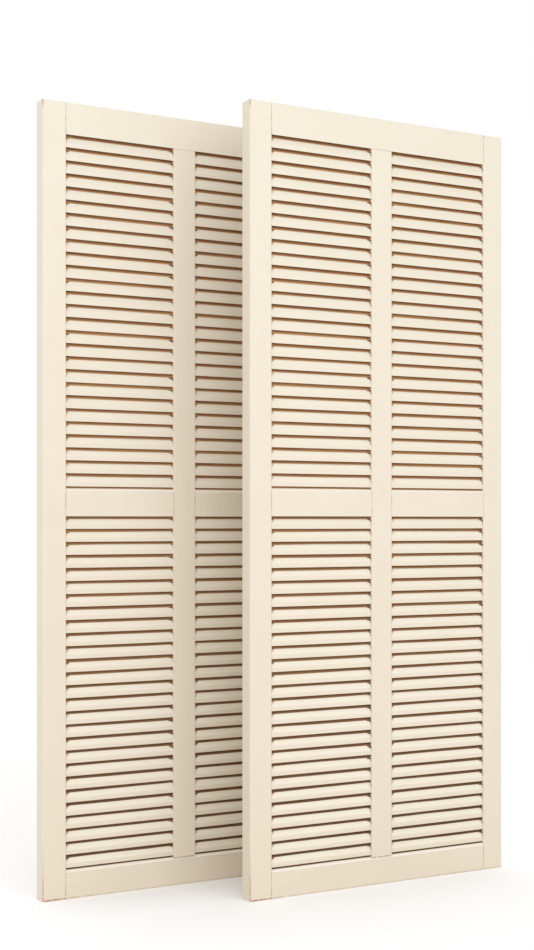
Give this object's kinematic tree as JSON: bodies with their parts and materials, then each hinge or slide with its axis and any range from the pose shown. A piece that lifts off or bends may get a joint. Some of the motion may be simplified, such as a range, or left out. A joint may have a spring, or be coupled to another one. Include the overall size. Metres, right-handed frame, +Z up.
{
  "type": "pair of louvred shutters",
  "caption": "Painted wooden shutters: framed panels with a centre mullion and mid rail, filled with fixed sloping louvre slats.",
  "frame": {"origin": "on the floor, under the middle of the pair's whole box", "axes": "+X along the shutters' width, to the right seen from the front; +Y from the face to the back; +Z up"},
  "size_m": [0.616, 0.148, 0.993],
  "materials": {
    "painted_frame": "satin cream paint on softwood",
    "painted_slats": "satin cream paint on softwood, thin on the sloping faces"
  },
  "bodies": {
    "root": {"front_shutter_left_stile": "painted_frame", "front_shutter_right_stile": "painted_frame", "front_shutter_mullion": "painted_frame", "front_shutter_top_rail": "painted_frame", "front_shutter_bottom_rail": "painted_frame", "front_shutter_left_mid_rail": "painted_frame", "front_shutter_right_mid_rail": "painted_frame", "front_shutter_upper_left_slats": "painted_slats", "front_shutter_upper_right_slats": "painted_slats", "front_shutter_lower_left_slats": "painted_slats", "front_shutter_lower_right_slats": "painted_slats", "rear_shutter_left_stile": "painted_frame", "rear_shutter_right_stile": "painted_frame", "rear_shutter_mullion": "painted_frame", "rear_shutter_top_rail": "painted_frame", "rear_shutter_bottom_rail": "painted_frame", "rear_shutter_left_mid_rail": "painted_frame", "rear_shutter_right_mid_rail": "painted_frame", "rear_shutter_upper_left_slats": "painted_slats", "rear_shutter_upper_right_slats": "painted_slats", "rear_shutter_lower_left_slats": "painted_slats", "rear_shutter_lower_right_slats": "painted_slats"}
  },
  "joints": []
}
